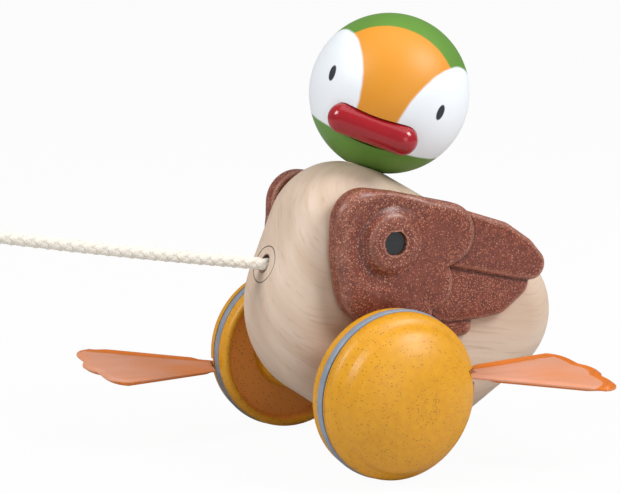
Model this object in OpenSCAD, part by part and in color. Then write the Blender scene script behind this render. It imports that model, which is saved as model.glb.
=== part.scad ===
// Pull-along duck: a waddling wooden toy on two domed wheels with webbed rubber feet.
// The duck faces -Y, +X is its left side, the floor is z = 0 and the unit is the millimetre.

/* [Body] */
// Thickness of the wooden body slab
body_thick = 34; // [30:1:36]
// Rounding along both edges of the slab
body_edge_r = 13; // [10:0.5:14]
// Distance from the axle to the tip of the tail
tail_reach = 73; // [70:0.5:76]

/* [Wheels] */
// Radius of the tyre band, which is also the height of the axle
tyre_r = 25.7; // [25.2:0.1:26.2]
// Width of the rubber tyre band
tyre_w = 3.6; // [3:0.1:4]
// Distance from the middle of the body to the middle of a tyre band
tyre_x = 34; // [33.6:0.1:34.4]
// Height of the dome on the outside of a wheel
dome_h = 14.4; // [14:0.1:15]
// Radius of the axle dowel
axle_r = 4; // [3.5:0.5:5]

/* [Feet] */
// Distance from the axle to the tip of the middle toe
foot_reach = 66.2; // [65:0.1:67]
// Width across the three toes
foot_w = 34.6; // [33:0.2:35]
// Thickness of the web between the toes
web_t = 1.6; // [1.4:0.1:2]
// Height of the lip along the edge of the web
rim_h = 1.2; // [0.8:0.1:1.5]
// Twist of a foot about its own length, in degrees
foot_twist = 5; // [0:1:8]
// Angle of the wheel set, which tips the rear foot down, in degrees
wheel_phase = 3.5; // [0:0.5:10]
// Offset of a foot's hinge from the plane through the axle
foot_lift = 5.4; // [4:0.1:5.5]
// Half of the angle that a foot can flap through, in degrees
foot_flap = 6; // [4:1:8]

/* [Wings] */
// Thickness of a wing
wing_t = 7; // [6:0.5:7.5]
// Radius of the raised ring round the wing pin
boss_r = 8.5; // [7.5:0.5:9]
// Radius of the wing pin's head
wing_pin_r = 3.4; // [3:0.1:3.6]

/* [Head] */
// Radius of the head ball
head_r = 24.5; // [24:0.1:25]
// Backward lean of the neck, in degrees
neck_lean = 23.5; // [20:0.5:26]
// Turn of the head to its left, in degrees
head_turn = 56; // [0:1:90]
// Length of the bill
bill_l = 28; // [26:0.5:30]
// Radius of the bill
bill_r = 4.6; // [4:0.1:5]

/* [Cord] */
// Diameter of the braided pull cord
cord_d = 4; // [3.5:0.1:4.5]
// Outer radius of the plug that the cord comes out of
plug_r = 5.6; // [5:0.1:6]
// Radius of the bead at the end of the cord
bead_r = 9; // [8:0.5:10]

/* [Hidden] */
$fn = 96;
// Overlap that makes a cut clean, running clearance and standing gap between bodies
cut = 1;
run_gap = 0.05;
body_gap = 0.4;

// The axle lies a little ahead of the middle, so that the whole duck is centred on the origin
axle_y = -2.9;
axle_z = tyre_r;
half_body = body_thick / 2;
wood_yellow = "#E0A020";

// Discs that the body wraps: distance behind the axle, height and radius of each
chest = [3, 47.2, 32];
crown = [1, 68.1, 22];
belly = [22, 29.2, 28.3];
tail = [tail_reach - 22, 39.2, 22];

// Wheel profile along the axle, from the hub outwards
hub_r = 14.5;
hub_step_x = 27;
hub_neck_r = 9;
hub_x = half_body + 0.6;
lip_x = tyre_x - tyre_w / 2 - 4;
dish_x = lip_x + 4;
disc_x = tyre_x + tyre_w / 2 + 0.6;
lip_r = tyre_r - 2.9;
flank_r = tyre_r - 0.4;
groove_r = tyre_r - 2.2;
cap_r = tyre_r - 0.5;
axle_end_x = disc_x + 3;

// Foot: hinge pin inside the dome, root between the slot's walls, then the web, which leans outwards
foot_x = disc_x + 4.1;
hinge_s = 13;
root_half = 3.5;
mouth_s = 26.3;
web_start_in = 8.4;
web_start_out = 5;
toe_r = 6.6;
toe_off = 3.3;
toe_x = foot_w / 2 - toe_r;
toe_s = foot_reach - toe_r;
side_toe_back = 2.4;
rim_w = 1.6;
barrel_r = 2.5;
foot_pin_r = 1.4;
foot_pin_x0 = disc_x - 2;
foot_pin_x1 = foot_x + root_half + 1.8;
slot_half_h = root_half * sin(foot_twist) + web_t / 2 + (mouth_s - hinge_s) * tan(foot_flap) + 0.4;
slot_half_x = root_half + 0.5;

// Wing: its inner face, the pin and the outline's landmarks, as distances behind the axle and heights
wing_x = half_body + body_gap;
wing_pin = [5, 69.2];
boss_h = 1.4;
pin_shank_r = 2.2;
pin_seat = 10;
feather_step = 1.2;
shoulder = [3, 67.7];
shoulder_r = 16.8;
// Long feathers from the top down: root, tip and the radius at each
feathers = [
    [[28, 68.2], [54.2, 59.4], 9, 7.6],
    [[28, 51], [48.4, 49.8], 9.6, 8],
    [[16, 46], [29.6, 42.6], 8, 6.6]
];

// Neck: the ball's centre, the dowel and its cross pin
head_y = axle_y + 17.6;
head_z = axle_z + 84.7;
dowel_r = 5;
dowel_in_head = 14;
dowel_in_body = 20;
groove_s = head_r + 13;
neck_pin_r = 1.5;
bill_drop = 36;
bill_gap = 0.6;
bill_out = head_r - 1.8;

// Plug and cord: both point the way the cord is pulled
plug_y = axle_y - 24.5;
plug_z = 61.2;
cord_rise = 11;
plug_l = 7;
plug_hole_r = 2.75;
cord_in = 12;
cord_sides = 10;
// Points that the cord follows, as distances from the plug towards a hand in front: taut, with a slight sag
cord_route = [
    [-12, 0], [-6, 0], [0, 0], [6, 0], [14, -0.1], [24, -0.3], [34, -0.4], [44, -0.5], [54, -0.5], [64, -0.5],
    [74, -0.4], [84, -0.3], [94, -0.2], [104, -0.1], [114, 0], [122, 0], [128, 0]
];
bead_at = 118;
knot_r = 4.2;

// Hidden roller under the belly
roller_y = axle_y + 26;
roller_r = 10;
roller_w = 12;
roller_pin_r = 2;
roller_pin_l = 24;

// Rotation of the wheel set and the point symmetry of its two ends
module at_axle() {
    translate([0, axle_y, axle_z]) children();
}

module wheel_side(side) {
    at_axle() rotate([(side > 0 ? 0 : 180) - wheel_phase, 0, 0]) mirror([side > 0 ? 0 : 1, 0, 0]) children();
}

module along_x(x) {
    translate([x, 0, 0]) rotate([0, 90, 0]) children();
}

// A disc on edge, with both rims rounded
module round_disc(spot) {
    rim = spot[2] - body_edge_r;
    translate([0, axle_y + spot[0], spot[1]])
        rotate([0, 90, 0])
            rotate_extrude($fn = 72)
                intersection() {
                    hull() {
                        for (x = [-1, 1])
                            translate([rim, x * (half_body - body_edge_r)]) circle(body_edge_r, $fn = 32);
                        translate([-1, -half_body]) square([1, body_thick]);
                    }
                    translate([0, -half_body]) square([spot[2] + cut, body_thick]);
                }
}

module neck_frame() {
    translate([0, head_y, head_z]) rotate([-neck_lean, 0, 0]) children();
}

module roller_space(gap) {
    translate([0, roller_y, roller_r]) {
        along_x(-roller_w / 2 - gap) cylinder(r = roller_r + 1.5, h = roller_w + 2 * gap);
        translate([-roller_w / 2 - gap, -roller_r - 1.5, -roller_r - 1.5])
            cube([roller_w + 2 * gap, 2 * roller_r + 3, roller_r + 1.5]);
    }
}

// Frame of the cord: its origin is the plug, +Z is the way the cord leaves and +Y is up
module cord_frame() {
    translate([0, plug_y, plug_z]) rotate([90 - cord_rise, 0, 0]) children();
}

// The rounded slab that the body is cut from
module body_block() {
    hull() {
        for (spot = [chest, crown, belly, tail]) round_disc(spot);
    }
}

module body() {
    color("#CDB69A") difference() {
        body_block();
        at_axle() along_x(-half_body - cut) cylinder(r = axle_r + run_gap, h = body_thick + 2 * cut);
        for (side = [-1, 1])
            translate([0, axle_y + wing_pin[0], wing_pin[1]])
                rotate([0, side * 90, 0])
                    translate([0, 0, half_body - pin_seat]) cylinder(r = pin_shank_r, h = pin_seat + cut);
        neck_frame() sphere(head_r + body_gap);
        neck_frame() translate([0, 0, -head_r - dowel_in_body]) cylinder(r = dowel_r + run_gap, h = 40);
        neck_frame() along_x(-half_body - cut) translate([groove_s, dowel_r, 0])
            cylinder(r = neck_pin_r, h = body_thick + 2 * cut);
        cord_frame() {
            translate([0, 0, -plug_l]) cylinder(r = plug_r, h = 20 + plug_l);
            translate([0, 0, -cord_in]) cylinder(r = plug_hole_r, h = cord_in);
        }
        roller_space(0.8);
        translate([0, roller_y, roller_r]) along_x(-roller_pin_l / 2)
            cylinder(r = roller_pin_r, h = roller_pin_l);
    }
}

module axle() {
    color("#D9C3A0") at_axle() along_x(-axle_end_x) cylinder(r = axle_r, h = 2 * axle_end_x);
}

// Pressed-wood disc: hub, dished inner face with a rounded lip, and the groove for the tyre band
module wheel(side) {
    groove_in = tyre_x - tyre_w / 2;
    groove_out = tyre_x + tyre_w / 2;
    lip_round = 1.2;
    hub_round = 2;
    color(wood_yellow) wheel_side(side) difference() {
        along_x(0) rotate_extrude() difference() {
            union() {
                translate([axle_r, hub_x]) square([hub_neck_r - axle_r, disc_x - hub_x]);
                translate([axle_r, hub_step_x]) square([hub_r - axle_r - hub_round, disc_x - hub_step_x]);
                translate([axle_r, hub_step_x + hub_round])
                    square([hub_r - axle_r, disc_x - hub_step_x - hub_round]);
                translate([hub_r - hub_round, hub_step_x + hub_round]) circle(hub_round, $fn = 32);
                translate([axle_r, dish_x]) square([flank_r - axle_r, disc_x - dish_x]);
                translate([lip_r, lip_x + lip_round]) square([flank_r - lip_r, dish_x - lip_x]);
                translate([lip_r + 1, lip_x]) square([flank_r - lip_round - lip_r - 1, lip_round + cut]);
                translate([flank_r - lip_round, lip_x + lip_round]) circle(lip_round, $fn = 32);
                translate([lip_r + 1, lip_x + 1]) circle(1, $fn = 32);
            }
            translate([groove_r, groove_in]) square([tyre_r, tyre_w]);
        }
        translate([0, hinge_s, foot_lift]) along_x(foot_pin_x0) cylinder(r = foot_pin_r, h = disc_x);
    }
}

// Rubber band that fills the groove, with a crowned tread
module tyre(side) {
    crown_r = 2 * tyre_w;
    color("#858A94") wheel_side(side) along_x(tyre_x - tyre_w / 2) rotate_extrude() intersection() {
        translate([groove_r, 0]) square([tyre_r - groove_r, tyre_w]);
        translate([tyre_r - crown_r, tyre_w / 2]) circle(crown_r, $fn = 64);
    }
}

// Profile of the dome outside a wheel: a rounded shoulder, a shallow valley, then a crown of two smooth arcs
module cap_profile() {
    shoulder_round = 3.4;
    side_r = 6.5;
    side_h = 2.6;
    side_at = cap_r - 2.5 - side_r;
    rise = dome_h - side_h;
    top_r = (rise * rise + side_at * side_at - side_r * side_r) / (2 * (rise - side_r));
    meet_at = top_r * side_at / (top_r - side_r);
    intersection() {
        square([cap_r + cut, dome_h + cut]);
        union() {
            square([cap_r - shoulder_round, shoulder_round]);
            translate([cap_r - shoulder_round, 0.6]) circle(shoulder_round, $fn = 64);
            translate([side_at, side_h]) circle(side_r);
            intersection() {
                translate([0, dome_h - top_r]) circle(top_r, $fn = 256);
                square([meet_at, dome_h]);
            }
        }
    }
}

// The dome, slotted for the root of the foot
module cap(side) {
    color(wood_yellow) wheel_side(side) difference() {
        along_x(disc_x) rotate_extrude() cap_profile();
        along_x(disc_x - cut) cylinder(r = axle_r, h = axle_end_x - disc_x + cut);
        translate([disc_x - cut, hinge_s - barrel_r - 0.6, foot_lift - slot_half_h])
            cube([foot_x + slot_half_x - disc_x + cut, cap_r, 2 * slot_half_h]);
        translate([0, hinge_s, foot_lift]) along_x(foot_pin_x0)
            cylinder(r = foot_pin_r, h = foot_pin_x1 - foot_pin_x0);
    }
}

// Outline of a webbed foot, drawn in by an inset, with x across and y away from the axle
module foot_outline(inset) {
    side_s = toe_s - side_toe_back;
    polygon([
        [-root_half + inset, hinge_s + 1], [-root_half + inset, mouth_s],
        [-web_start_in + inset, mouth_s + 2.3], [toe_off - toe_x - toe_r + inset, side_s],
        [toe_off - toe_x, side_s + toe_r - 0.5 - inset], [toe_off - toe_x / 2, toe_s + toe_r - 3.2 - inset],
        [toe_off, toe_s + toe_r - 0.5 - inset], [toe_off + toe_x / 2, toe_s + toe_r - 3.2 - inset],
        [toe_off + toe_x, side_s + toe_r - 0.5 - inset], [toe_off + toe_x + toe_r - inset, side_s],
        [web_start_out - inset, mouth_s], [root_half - inset, mouth_s], [root_half - inset, hinge_s + 1]
    ]);
    for (x = [-1, 0, 1])
        translate([toe_off + x * toe_x, toe_s - abs(x) * side_toe_back]) circle(toe_r - inset);
}

// Lip along the edge of the web beyond the wheel
module foot_lip() {
    difference() {
        foot_outline(0);
        foot_outline(rim_w);
        translate([-foot_w, -foot_w]) square([2 * foot_w, mouth_s + foot_w + 3]);
    }
}

// The side of a foot that points away from the duck
module outer_side() {
    top_s = toe_s - toe_r;
    polygon([[root_half, hinge_s], [foot_w, hinge_s], [foot_w, top_s], [toe_off + toe_x, top_s]]);
}

// The lip stands up along the toes and the inner side, and down along the outer side
module foot(side) {
    color("#E87A20") wheel_side(side) difference() {
        union() {
            translate([foot_x, 0, foot_lift]) rotate([0, foot_twist, 0]) {
                translate([0, 0, -web_t / 2]) linear_extrude(web_t) foot_outline(0);
                translate([0, 0, -web_t / 2]) linear_extrude(web_t + rim_h) difference() {
                    foot_lip();
                    outer_side();
                }
                translate([0, 0, -web_t / 2 - rim_h]) linear_extrude(web_t + rim_h) intersection() {
                    foot_lip();
                    outer_side();
                }
            }
            translate([0, hinge_s, foot_lift]) along_x(foot_x - root_half)
                cylinder(r = barrel_r, h = 2 * root_half);
        }
        translate([0, hinge_s, foot_lift]) along_x(disc_x - 5) cylinder(r = foot_pin_r + run_gap, h = 30);
    }
}

module foot_pin(side) {
    color("#B9BCC0") wheel_side(side) translate([0, hinge_s, foot_lift]) along_x(foot_pin_x0)
        cylinder(r = foot_pin_r, h = foot_pin_x1 - foot_pin_x0);
}

// Flat lobe between two round ends, in the wing's own plane
module lobe(a, b, ra, rb) {
    hull() {
        translate(a) circle(ra, $fn = 48);
        translate(b) circle(rb, $fn = 48);
    }
}

// One wing in its own plane: y behind the axle and z above the floor become the two axes
module feather(i) {
    lobe(feathers[i][0], feathers[i][1], feathers[i][2], feathers[i][3]);
}

module wing_coverts() {
    lobe(shoulder, [25, 69.7], shoulder_r, 9.6);
    lobe(shoulder, [18.6, 55], shoulder_r, 8.4);
    lobe(shoulder, [11.6, 47.5], shoulder_r, 8.4);
    hull() {
        lobe(shoulder, [1, 57.2], shoulder_r, 13);
        translate([-3.5, 75.7]) circle(10, $fn = 48);
    }
}

module wing(side) {
    color("#8F4F3F") mirror([side > 0 ? 0 : 1, 0, 0]) difference() {
        translate([wing_x, axle_y, 0]) rotate([90, 0, 90]) {
            for (i = [0 : 2]) linear_extrude(wing_t - (i + 1) * feather_step) feather(i);
            linear_extrude(wing_t) wing_coverts();
            translate([wing_pin[0], wing_pin[1], 0]) cylinder(r = boss_r, h = wing_t + boss_h);
        }
        translate([0, axle_y + wing_pin[0], wing_pin[1]]) {
            along_x(wing_x - cut) cylinder(r = pin_shank_r + run_gap, h = 30);
            along_x(wing_x + wing_t - 2) cylinder(r = wing_pin_r + 0.15, h = 30);
        }
    }
}

module wing_pin(side) {
    head_x = wing_x + wing_t - 1.9;
    color("#2B2B2D") mirror([side > 0 ? 0 : 1, 0, 0])
        translate([0, axle_y + wing_pin[0], wing_pin[1]]) {
            along_x(half_body - pin_seat) cylinder(r = pin_shank_r, h = head_x - half_body + pin_seat);
            along_x(head_x) cylinder(r = wing_pin_r, h = 2.4);
        }
}

// Capsule for the bill and for its seat in the ball, moved outwards by a distance
module bill_shape(r, out) {
    straight = bill_l / 2 - bill_r;
    rotate([0, 0, head_turn]) rotate([bill_drop, 0, 0]) translate([0, -bill_out - out, 0]) {
        along_x(-straight) cylinder(r = r, h = 2 * straight);
        for (x = [-1, 1]) translate([x * straight, 0, 0]) sphere(r);
    }
}

module head() {
    color("#6BA03A") neck_frame() difference() {
        sphere(head_r);
        bill_shape(bill_r + run_gap, 0);
        bill_shape(bill_r + bill_gap, 2 * bill_gap);
        translate([0, 0, -head_r - cut]) cylinder(r = dowel_r, h = dowel_in_head + cut);
    }
}

module bill() {
    color("#C8202C") neck_frame() bill_shape(bill_r, 0);
}

module neck_dowel() {
    dowel_l = dowel_in_head + dowel_in_body - 1;
    color("#D9C3A0") neck_frame() difference() {
        translate([0, 0, dowel_in_head - head_r - dowel_l]) cylinder(r = dowel_r, h = dowel_l);
        translate([0, 0, -groove_s]) rotate_extrude()
            translate([dowel_r, 0]) circle(neck_pin_r + 0.2, $fn = 48);
    }
}

module neck_pin() {
    color("#B9BCC0") neck_frame() along_x(-half_body + 0.5) translate([groove_s, dowel_r, 0])
        cylinder(r = neck_pin_r, h = body_thick - 1);
}

module cord_plug() {
    color("#D3BC9C") difference() {
        intersection() {
            cord_frame() translate([0, 0, -plug_l]) cylinder(r = plug_r, h = 2 * plug_l);
            body_block();
        }
        cord_frame() translate([0, 0, -2 * plug_l]) cylinder(r = plug_hole_r, h = 4 * plug_l);
    }
}

// Unit direction of the route at a point, and one ring of the tube there
function route_at(i) = [0, cord_route[i][1], cord_route[i][0]];
function step_at(i) = route_at(min(i + 1, len(cord_route) - 1)) - route_at(max(i - 1, 0));
function ring_at(i) =
    let (d = step_at(i) / norm(step_at(i)), across = [1, 0, 0], over = cross(d, across))
    [for (k = [0 : cord_sides - 1])
        let (a = 360 * k / cord_sides)
        route_at(i) + cord_d / 2 * (cos(a) * across + sin(a) * over)];

module cord() {
    last = len(cord_route) - 1;
    far = last * cord_sides;
    points = [for (i = [0 : last]) each ring_at(i)];
    sides = [for (i = [0 : last - 1]) for (k = [0 : cord_sides - 1])
        let (a = i * cord_sides + k, b = i * cord_sides + (k + 1) % cord_sides)
        each [[a, a + cord_sides, b], [b, a + cord_sides, b + cord_sides]]];
    inner_end = [for (k = [1 : cord_sides - 2]) [0, k, k + 1]];
    outer_end = [for (k = [1 : cord_sides - 2]) [far, far + k + 1, far + k]];
    color("#EFEAE0") cord_frame() polyhedron(points, concat(sides, inner_end, outer_end));
}

module pull_bead() {
    color("#D9C3A0") cord_frame() translate([0, 0, bead_at]) difference() {
        sphere(bead_r);
        cylinder(r = cord_d / 2 + 0.3, h = 3 * bead_r, center = true);
    }
}

module end_knot() {
    color("#EFEAE0") cord_frame() translate([0, 0, cord_route[len(cord_route) - 1][0]]) intersection() {
        translate([0, 0, knot_r * 0.7]) sphere(knot_r);
        cylinder(r = 2 * knot_r, h = 3 * knot_r);
    }
}

module tail_roller() {
    color(wood_yellow) translate([0, roller_y, roller_r]) along_x(-roller_w / 2) difference() {
        cylinder(r = roller_r, h = roller_w);
        translate([0, 0, -cut]) cylinder(r = roller_pin_r + run_gap, h = roller_w + 2 * cut);
    }
}

module roller_pin() {
    color("#B9BCC0") translate([0, roller_y, roller_r]) along_x(-roller_pin_l / 2)
        cylinder(r = roller_pin_r, h = roller_pin_l);
}

body();
axle();
wheel(1);  // wheel_left
wheel(-1);  // wheel_right
tyre(1);  // tyre_left
tyre(-1);  // tyre_right
cap(1);  // cap_left
cap(-1);  // cap_right
foot(1);  // foot_left
foot(-1);  // foot_right
foot_pin(1);  // foot_pin_left
foot_pin(-1);  // foot_pin_right
wing(1);  // wing_left
wing(-1);  // wing_right
wing_pin(1);  // wing_pin_left
wing_pin(-1);  // wing_pin_right
head();
bill();
neck_dowel();
neck_pin();
cord_plug();
cord();
pull_bead();
end_knot();
tail_roller();
roller_pin();
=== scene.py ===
"""The pull-along duck as it looks: turned wood, pressed wood, enamel, rubber and a braided cord."""
import math

import bmesh
import bpy
from mathutils import Matrix, Vector


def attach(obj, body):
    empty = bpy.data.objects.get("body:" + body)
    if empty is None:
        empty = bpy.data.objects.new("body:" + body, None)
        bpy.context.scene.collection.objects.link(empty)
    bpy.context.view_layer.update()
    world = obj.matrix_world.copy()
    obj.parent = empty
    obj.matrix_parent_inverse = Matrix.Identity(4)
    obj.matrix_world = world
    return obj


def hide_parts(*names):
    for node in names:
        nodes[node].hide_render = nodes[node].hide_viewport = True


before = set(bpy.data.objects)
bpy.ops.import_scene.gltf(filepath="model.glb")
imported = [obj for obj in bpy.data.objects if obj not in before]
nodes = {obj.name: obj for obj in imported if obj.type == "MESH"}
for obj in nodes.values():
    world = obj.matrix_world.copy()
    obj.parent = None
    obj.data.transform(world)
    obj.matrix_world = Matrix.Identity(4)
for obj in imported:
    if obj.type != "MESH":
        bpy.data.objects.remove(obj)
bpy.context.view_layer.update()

# Sizes below are in millimetres and become metres here
MM = 0.001

# Camera

# The picture is 620 by 493: taken from the duck's front left, a little above its back
VIEW_AZIMUTH = math.radians(61.24)
VIEW_ELEVATION = math.radians(11.06)
VIEW_DISTANCE = 643.5 * MM
VIEW_AIM = Vector((-0.3, -12.7, 65.3)) * MM
LENS_MM = 123.15
SENSOR_MM = 36

view_back = Vector((
    math.sin(VIEW_AZIMUTH) * math.cos(VIEW_ELEVATION),
    -math.cos(VIEW_AZIMUTH) * math.cos(VIEW_ELEVATION),
    math.sin(VIEW_ELEVATION),
))
camera = bpy.data.objects.new("camera", bpy.data.cameras.new("camera"))
camera.data.sensor_fit = "HORIZONTAL"
camera.data.sensor_width = SENSOR_MM
camera.data.lens = LENS_MM
camera.data.clip_start = 0.01
camera.location = VIEW_AIM + VIEW_DISTANCE * view_back
camera.rotation_euler = view_back.to_track_quat("Z", "Y").to_euler()
bpy.context.scene.collection.objects.link(camera)
bpy.context.scene.camera = camera
bpy.context.scene.view_settings.view_transform = "Standard"

# The duck's own measures

# Axle, wheel set and feet, as distances along the axle (x), from the axle (s) and across a foot
AXLE = Vector((0, -2.9, 25.7))
TYRE_X = (32.2, 35.8)
TYRE_R = 25.7
FLANK_R = 25.3
LIP_X = 28.2
DISC_X = 36.4
DOME_R = 25.2
DOME_H = 14.4
WHEEL_PHASE = math.radians(3.5)
HUB_X = 17.6
HUB_STEP_X = 27
HUB_NECK_R = 9
HUB_R = 12.2
DISH_R = 22.8
GROOVE_R = 23.6
FOOT_X = 40.5
FOOT_LIFT = 5.4
FOOT_TWIST = math.radians(5)
FOOT_REACH = 66.2
FOOT_WIDTH = 34.6
FOOT_HINGE = 13
FOOT_MOUTH = 26.3
FOOT_ROOT = 3.5
ROOT_OUT = 1.3
FOOT_BARREL_R = 2.5
WEB_START = (-8.4, 1.5)
WEB_START_S = (25.7, 22.6)
WEB_T = 1.6
LIP_H = 0.45
TOE_R = 6.6
TOE_OFF = 3.3
SIDE_TOE_BACK = 2.4
# The deeper colour along a foot's sides and toes is that wide
SIDE_BAND = 4.4
TOE_BAND = 4

# Slot in a dome: how far out it goes (x), its reach from the axle (s) and half its height
CHAMBER_X = 44.5
CHAMBER_S = (9.8, 19.5)
CHAMBER_HALF = 2.9
MOUTH_X = 42.2
MOUTH_S = (19, 30)
MOUTH_HALF = 2.3

# Body: the discs that it wraps, each as (behind the axle, height, radius), its half width and edge rounding
BODY_DISCS = ((3, 47.2, 32), (1, 68.1, 22), (22, 29.2, 28.3), (51, 39.2, 22))
BODY_HALF = 17
BODY_EDGE = 13
AXLE_R = 4
ROLLER = Vector((0, 23.1, 10))
ROLLER_ROOM = (6.8, 11.5)
RUN_GAP = 0.1
HEAD_GAP = 0.4
# Reach of the dowel's bore to both sides of the ball's surface, and of the plug's behind and ahead of PLUG
DOWEL_SPAN = 20
PLUG_SPAN = (7, 13)

# Wing: inner face, pin and the discs that its lobes wrap, each as (behind the axle, height, radius)
WING_X = 17.4
WING_T = 7
WING_PIN = (5, 69.2)
PIN_HOLE_R = 3.55
BOSS_H = 1.1
HOLLOW_D = 1.3
SHOULDER = (3, 67.7, 16.8)
COVERTS = [
    (SHOULDER, (1, 57.2, 13), (-3.5, 75.7, 10)),
    (SHOULDER, (25, 69.7, 9.6)),
    (SHOULDER, (18.6, 55, 8.4)),
    (SHOULDER, (11.6, 47.5, 8.4)),
]
FEATHERS = [
    ((28, 68.2, 9), (44, 63.8, 8), (52, 59.8, 6.8), (57, 57, 4.9)),
    ((28, 51, 9.6), (38, 51.2, 9.9), (44, 51, 9.2), (52, 51.4, 4.9)),
    ((16, 46, 8), (29.6, 41.6, 5.8), (33.6, 39.6, 3.2)),
]
FEATHER_T = (4.6, 3, 1.9)

# Head: centre and radius of the ball, lean of the neck and turn of the head
HEAD = Vector((0, 14.7, 110.4))
HEAD_R = 24.5
NECK_LEAN = math.radians(23.5)
HEAD_TURN = math.radians(56)
NECK = Matrix.Rotation(-NECK_LEAN, 3, "X") @ Vector((0, 0, 1))
DOWEL_R = 5

# Cord: where its plug is, how it rises and the points that it follows, as (distance, sag)
PLUG = Vector((0, -27.4, 61.2))
PLUG_R = 5.6
CORD_RISE = math.radians(11)
CORD_D = 4
CORD_ROUTE = [
    (-6, 0), (0, 0), (6, 0), (14, -0.1), (24, -0.3), (34, -0.4), (44, -0.5), (54, -0.5), (64, -0.5),
    (74, -0.4), (84, -0.3), (94, -0.2), (104, -0.1), (114, 0), (122, 0), (128, 0),
]
KNOT_R = 4.2
# A strand goes once round in that length, and that many strands wind each way
BRAID_LAY = 15
BRAID_STRANDS = 4
CORD_AHEAD = Vector((0, -math.cos(CORD_RISE), math.sin(CORD_RISE)))
CORD_UP = Vector((0, math.sin(CORD_RISE), math.cos(CORD_RISE)))
CORD_SIDE = Vector((1, 0, 0))

# Helpers

# Edges that turn by more than this stay sharp
SHARP_ANGLE = math.radians(40)


def linear(hex_colour):
    """An sRGB hex colour as the linear one that the shaders take."""
    channels = [int(hex_colour[i:i + 2], 16) / 255 for i in (1, 3, 5)]
    return tuple(c / 12.92 if c <= 0.04045 else ((c + 0.055) / 1.055) ** 2.4 for c in channels) + (1.0,)


def per_mm(size):
    """Texture scale for a pattern whose features are that many millimetres."""
    return 1 / (size * MM)


def add(tree, kind, inputs, **settings):
    """Adds a node with its settings and its inputs, each a plain value or another node's socket."""
    made = tree.nodes.new("ShaderNode" + kind)
    for name, value in settings.items():
        setattr(made, name, value)
    for key, value in inputs.items():
        if isinstance(value, bpy.types.NodeSocket):
            tree.links.new(value, made.inputs[key])
        else:
            made.inputs[key].default_value = value
    return made


def new_material(name):
    """An empty procedural material: its tree, its shader and the place on the piece in metres."""
    material = bpy.data.materials.new(name)
    material.use_nodes = True
    tree = material.node_tree
    shader = tree.nodes["Principled BSDF"]
    place = add(tree, "TexCoord", {}).outputs["Object"]
    return material, tree, shader, place


def new_piece(name, mesh, body, material, slot, *replaced):
    """Puts a finished mesh into the scene as a piece of that body."""
    piece = bpy.data.objects.new(name, mesh)
    bpy.context.scene.collection.objects.link(piece)
    piece.data.materials.clear()
    piece.data.materials.append(material)
    piece.data.shade_smooth()
    piece.data.set_sharp_from_angle(angle=SHARP_ANGLE)
    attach(piece, body)
    if replaced:
        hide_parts(*replaced)
    return piece


def skin(rings, caps=True):
    """Mesh over rows of points with as many points each; caps closes the first and last row."""
    mesh = bmesh.new()
    rows = [[mesh.verts.new(Vector(p) * MM) for p in ring] for ring in rings]
    around = len(rows[0])
    for low, high in zip(rows, rows[1:]):
        for i in range(around):
            j = (i + 1) % around
            mesh.faces.new((low[i], low[j], high[j], high[i]))
    if caps:
        mesh.faces.new(list(reversed(rows[0])))
        mesh.faces.new(rows[-1])
    return mesh


def to_mesh(name, *shells):
    """One mesh from one or more closed bmesh shells, with all faces turned outwards."""
    data = bpy.data.meshes.new(name)
    whole = bmesh.new()
    for shell in shells:
        bmesh.ops.recalc_face_normals(shell, faces=shell.faces)
        part = bpy.data.meshes.new("shell")
        shell.to_mesh(part)
        shell.free()
        whole.from_mesh(part)
        bpy.data.meshes.remove(part)
    whole.to_mesh(data)
    whole.free()
    return data


def box_shell(low, high):
    """Closed box between two corners in millimetres."""
    shell = bmesh.new()
    bmesh.ops.create_cube(shell, size=1)
    for vertex in shell.verts:
        vertex.co = Vector([a + (0.5 + c) * (b - a) for a, b, c in zip(low, high, vertex.co)]) * MM
    return shell


def rod_shell(start, end, radius, steps=72):
    """Closed cylinder between two points in millimetres."""
    side = (end - start).orthogonal().normalized()
    over = (end - start).normalized().cross(side)
    turns = [2 * math.pi * k / steps for k in range(steps)]
    return skin([
        [p + radius * (math.cos(a) * side + math.sin(a) * over) for a in turns]
        for p in (start, end)
    ])


def carved(name, shell, cutters):
    """Mesh of a closed shell with other closed shells cut out of it."""
    blank = bpy.data.objects.new(name, to_mesh(name, shell))
    helpers = [blank]
    for cutter_shell in cutters:
        cutter = bpy.data.objects.new("cutter", to_mesh("cutter", cutter_shell))
        helpers.append(cutter)
        carve = blank.modifiers.new("carve", "BOOLEAN")
        carve.operation = "DIFFERENCE"
        carve.solver = "EXACT"
        carve.object = cutter
    for helper in helpers:
        bpy.context.scene.collection.objects.link(helper)
    bpy.context.view_layer.update()
    mesh = bpy.data.meshes.new_from_object(blank.evaluated_get(bpy.context.evaluated_depsgraph_get()))
    for helper in helpers:
        bpy.data.objects.remove(helper)
    return mesh


def lobe_ring(discs, inset, x, points=120):
    """Outline round some discs, drawn in by inset, at that distance from the duck's middle."""
    ring = []
    for k in range(points):
        a = 2 * math.pi * k / points
        y, z, r = max(discs, key=lambda d: d[0] * math.cos(a) + d[1] * math.sin(a) + d[2])
        ring.append((x, AXLE.y + y + (r - inset) * math.cos(a), z + (r - inset) * math.sin(a)))
    return ring


def smoothstep(low, high, value):
    """0 below low, 1 above high and a soft step between; low may be the greater."""
    t = min(max((value - low) / (high - low), 0), 1)
    return t * t * (3 - 2 * t)


# Materials


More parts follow.
